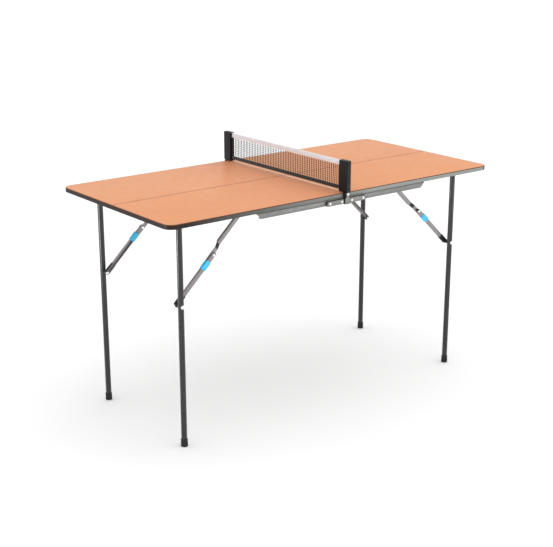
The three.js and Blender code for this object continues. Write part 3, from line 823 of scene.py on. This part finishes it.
def collar_rings(tall):
    """The sliding collar: a swelling outside, a square bore inside."""
    middle = (LOWER_OUTER + LOWER_INNER) / 2
    half_in = tall / 2 + COLLAR_CLEAR

    def ring(x, half_y, half_z, r):
        shape = rounded_box(half_y, half_z, r, 0, middle)
        return [STAY @ Vector((x, y, z)) for y, z in shape]

    def skin(x, grow):
        return ring(x, COLLAR_HALF + grow, half_in + COLLAR_WALL + grow, COLLAR_R + grow)

    def bore(x, grow):
        return ring(x, STAY_HALF + COLLAR_CLEAR + grow, half_in + grow, COLLAR_BORE_R + grow)

    low, high = -COLLAR_START - COLLAR_LONG, -COLLAR_START
    rim = [(0, -0.0012), (0.0004, -0.0005), (0.0013, 0)]  # distance from the end, and growth
    rings = [skin(low + x, grow) for x, grow in rim]
    for i in range(1, 8):
        share = i / 8
        rings.append(skin(low + COLLAR_LONG * share, COLLAR_SWELL * math.sin(math.pi * share)))
    rings += [skin(high - x, grow) for x, grow in rim[::-1]]
    bevel, depth = 0.0004, 0.0006
    return rings + [bore(high, bevel), bore(high - depth, 0), bore(low + depth, 0),
                    bore(low, bevel)]


def add_link(name, sections, corner, part, dark, sx, sy):
    """A link in stay paint whose stretch between the two given places along it takes the dark
    material, painted shade.
    """
    bm = bmesh.new()
    loft(bm, sections)
    to_stay = STAY.inverted()
    for face in bm.faces:
        x = (to_stay @ face.calc_center_median()).x
        face.material_index = int(dark[0] < x < dark[1])
    link = show(f"{name}_{corner}", bm, STAY_PAINT, f"{part}_{corner}",
                [f"{part}_{corner}"], sx, sy)
    link.data.materials.append(STAY_SHADE)


def add_stay(edge, sy, side, sx):
    corner = f"{edge}_{side}"
    lower = f"stay_lower_{corner}"
    tall = LOWER_INNER - LOWER_OUTER
    # the crank (JOG) and the lower link's end past the knee take the dark material: painted shade
    add_link("upper_link", upper_link_sections(), corner, "stay_upper", JOG, sx, sy)
    add_link("lower_link", lower_link_sections(tall), corner, "stay_lower",
             (KNEE_SHADE, math.inf), sx, sy)

    bm = bmesh.new()
    r, face = KNEE_RIVET[0], LOWER_OUTER
    crown = [(x, face - KNEE_LIP - up) for x, up in dome(KNEE_CROWN_R, HEAD_STEP, KNEE_CROWN)]
    turned(bm, [(0, face + SINK), (r, face + SINK), (r, face - KNEE_LIP), *crown], 32, STAY)
    turned(bm, domed_head(TAIL_OUTER + UPPER_WALL, *KNEE_RIVET), 32, STAY)
    place = STAY @ Matrix.Translation((-lower_length, 0, 0))
    turned(bm, [(0, face + SINK), (EYE_R, face + SINK), *dome(EYE_R, LOWER_INNER, EYE_CROWN)],
           32, place)
    show(f"stay_rivets_{corner}", bm, BRIGHT, lower, (), sx, sy)

    bm = bmesh.new()
    loft(bm, end_cap_sections(tall))
    show(f"stay_cap_{corner}", bm, BLACK, lower, (), sx, sy)

    bm = bmesh.new()
    loft(bm, collar_rings(tall), around=True)
    show(f"lock_sleeve_{corner}", bm, BLUE, f"collar_{corner}",
         [f"lock_collar_{corner}"], sx, sy, crease=50)


def add_stay_bracket(edge, sy, side, sx):
    corner = f"{edge}_{side}"
    outer_ear = LEG_Y - UPPER_OUTER + EAR_CLEAR[0]
    inner_ear = LEG_Y - UPPER_INNER - EAR_CLEAR[1]
    bm = bmesh.new()
    half_long, r = STAY_BASE
    outer, inner = outer_ear + STAY_BASE_OUT, inner_ear - STAY_BASE_IN
    base = rounded_box(half_long, (outer - inner) / 2, r, bracket_x, (outer + inner) / 2)
    prism(bm, base, UNDER - EAR_THICK, UNDER)
    high = UNDER - SINK
    ear = [(bracket_x + EAR_HALF, high), (bracket_x - EAR_HALF, high),
           *arc(bracket_x, PIVOT_Z, EAR_R, 180, 360, 14)]
    for y in (outer_ear, inner_ear - EAR_THICK):
        prism(bm, ear, y, y + EAR_THICK, place=ACROSS)
    show(f"bracket_{corner}", bm, STAY_PAINT, "table_top",
         [f"stay_bracket_{corner}"], sx, sy)

    bm = bmesh.new()
    start, end = inner_ear - EAR_THICK, outer_ear + EAR_THICK
    head, rim = dome(PIN_HEAD_R, HEAD_STEP, PIN_CROWN), PIN_RIM
    turned(bm, [(r, start - up) for r, up in head[::-1]]
           + [(PIN_HEAD_R, start + rim), (PIN_R, start + rim), (PIN_R, end - rim),
              (PIN_HEAD_R, end - rim)]
           + [(r, end + up) for r, up in head], 24, facing_out(bracket_x, PIVOT_Z))
    show(f"bracket_pin_{corner}", bm, BRIGHT, "table_top", (), sx, sy)


# ---- net, posts and their brackets ----
def add_post(edge, sy):
    middle = (POST_IN + POST_OUT) / 2
    half_y = (POST_OUT - POST_IN) / 2
    low, high = POST_SPAN

    def ring(z, grow):
        shape = rounded_box(POST_HALF + grow, half_y + grow, POST_R + grow, 0, middle, 8)
        return [(x, y, z) for x, y in shape]

    rim, bevel, soft = POST_RIM, SHEET_RIM, PANEL_RIM
    turns = [math.radians(a) for a in (0, 22.5, 45, 67.5, 90)]
    rings = [ring(high - POST_CAP, -POST_WALL), ring(low + bevel, -POST_WALL),
             ring(low, -POST_WALL + bevel), ring(low, -soft), ring(low + soft, 0)]
    rings += [ring(high - rim + rim * math.sin(t), -rim + rim * math.cos(t)) for t in turns]
    bm = bmesh.new()
    loft(bm, rings)
    show(f"post_{edge}", bm, POST_BLACK, "net_set", [f"net_post_{edge}"], 1, sy)

    foot, neck, stem = BRACKET_HALF, NECK_HALF, STEM_HALF
    foot_low, foot_top = BRACKET_FOOT
    shoulder = low - GAP
    fillet = BRACKET_FILLET
    half = [*arc(foot - fillet, foot_low + fillet, fillet, -90, 0, 5), (foot, foot_top - 0.001),
            (foot - 0.001, foot_top), (neck + 0.003, foot_top + 0.0006),
            (neck + 0.0008, foot_top + 0.0014), (neck, foot_top + 0.003), (neck, shoulder),
            (stem, shoulder)]
    tip = arc(0, STEM_TOP - stem, stem, 0, 180, 12)
    outline = half + tip + [(-x, z) for x, z in half[::-1]]
    bm = bmesh.new()
    prism(bm, outline, BRACKET_FACE, BRACKET_FACE + LEAF_THICK, place=ACROSS)
    show(f"post_stem_{edge}", bm, LEAF_ZINC, "table_top", [f"post_bracket_{edge}"],
         1, sy)

    outer = BRACKET_FACE + LEAF_THICK + GAP
    bm = bmesh.new()
    turned(bm, domed_head(outer, *POST_SCREW), 32, facing_out(0, SCREW_Z))
    show(f"screw_head_{edge}", bm, BRIGHT, "table_top", [f"post_screw_{edge}"],
         1, sy)


def rod(bm, start, end, r, sides=6):
    """A straight thread, closed at both ends."""
    start, end = Vector(start), Vector(end)
    turn = (end - start).to_track_quat("Z", "Y").to_matrix()
    shape = ring_of(r, sides)
    loft(bm, [[p + turn @ Vector((x, y, 0)) for x, y in shape] for p in (start, end)])


def tape(bm, low, high):
    """A flat band from post to post."""
    outline = rounded_box(TAPE_HALF, (high - low) / 2, TAPE_R, 0, (high + low) / 2, 4)
    prism(bm, outline, -REACH, REACH, FINE_RIM, ACROSS)


def add_net():
    low, high = BOTTOM_TAPE[1] + GAP, TOP_TAPE[0] - GAP
    columns = round(2 * REACH / COLUMN)
    rows = round((high - low) / ROW)
    draw = random.Random(7)
    bm = bmesh.new()
    for i in range(1, columns):
        y = -REACH + 2 * REACH * i / columns
        lean = draw.uniform(-LEAN, LEAN)
        rod(bm, (0, y, low), (0, y + lean, high), UPRIGHT_R)
    for j in range(1, rows):
        z = low + (high - low) * j / rows
        rod(bm, (0, -REACH, z), (0, REACH, z), THREAD_R)
        for i in range(1, columns):
            knot = Matrix.Translation((0, -REACH + 2 * REACH * i / columns, z))
            turned(bm, [(0, -KNOT_R), (KNOT_R, 0), (0, KNOT_R)], 5, knot)
    mesh = show("net_strands", bm, STRAND, "net_set", ["net_mesh"])

    bm = bmesh.new()
    tape(bm, *TOP_TAPE)
    top = show("white_band", bm, WHITE_TAPE, "net_set", ["net_top_tape"])
    bm = bmesh.new()
    tape(bm, *BOTTOM_TAPE)
    bottom = show("black_band", bm, BLACK_TAPE, "net_set", ["net_bottom_tape"])
    bm = bmesh.new()
    for sign in EDGES.values():
        outline = rounded_box(HEM_THICK_HALF, HEM_HALF, HEM_R, 0, sign * (REACH - HEM_HALF), 3)
        prism(bm, outline, low, high, HEM_RIM)
    hems = show("net_hems", bm, BLACK_TAPE, "net_set")


for side, sx in SIDES.items():
    add_half(side, sx)
    add_cross(side, sx)
    for edge, sy in EDGES.items():
        add_rail(edge, sy, side, sx)
        add_leg(edge, sy, side, sx)
        add_saddle(edge, sy, side, sx)
        add_stay(edge, sy, side, sx)
        add_stay_bracket(edge, sy, side, sx)
for edge, sy in EDGES.items():
    add_post(edge, sy)
add_net()


# ---- floor, light and background ----
def studio():
    world = bpy.data.worlds.new("studio")
    bpy.context.scene.world = world
    world.use_nodes = True
    world.node_tree.nodes["Background"].inputs["Color"].default_value = (1, 1, 1, 1)
    world.node_tree.nodes["Background"].inputs["Strength"].default_value = WORLD_LIGHT

    bm = bmesh.new()
    bmesh.ops.create_grid(bm, x_segments=1, y_segments=1, size=FLOOR_REACH)
    mesh = bpy.data.meshes.new("floor")
    bm.to_mesh(mesh)
    bm.free()
    nodes = Nodes("floor_pale")
    nodes.set(
        Base_Color=nodes.mix(nodes.noise(2.0), (0.95, 0.95, 0.95, 1), (0.97, 0.97, 0.97, 1)),
        Roughness=0.9,
        Specular_IOR_Level=0.0,
        Emission_Color=(1, 1, 1, 1),
        Emission_Strength=FLOOR_GLOW,
    )
    mesh.materials.append(nodes.material)
    floor = bpy.data.objects.new("floor", mesh)
    floor.location.z = -FLOOR_DROP
    bpy.context.scene.collection.objects.link(floor)

    for name, towards, energy, spread in LAMPS:
        data = bpy.data.lights.new(name, "SUN")
        data.energy = energy
        data.angle = math.radians(spread)
        lamp = bpy.data.objects.new(name, data)
        lamp.rotation_euler = Vector(towards).to_track_quat("-Z", "Y").to_euler()
        bpy.context.scene.collection.objects.link(lamp)
    for name, place, aim, size, power in STRIPS:
        data = bpy.data.lights.new(name, "AREA")
        data.shape = "RECTANGLE"
        data.size, data.size_y = size
        data.energy = power
        lamp = bpy.data.objects.new(name, data)
        lamp.location = place
        lamp.rotation_euler = (Vector(aim) - Vector(place)).to_track_quat("-Z", "Y").to_euler()
        lamp.visible_camera = False
        lamp.visible_diffuse = False
        bpy.context.scene.collection.objects.link(lamp)
    bpy.context.scene.view_settings.view_transform = "Standard"


studio()
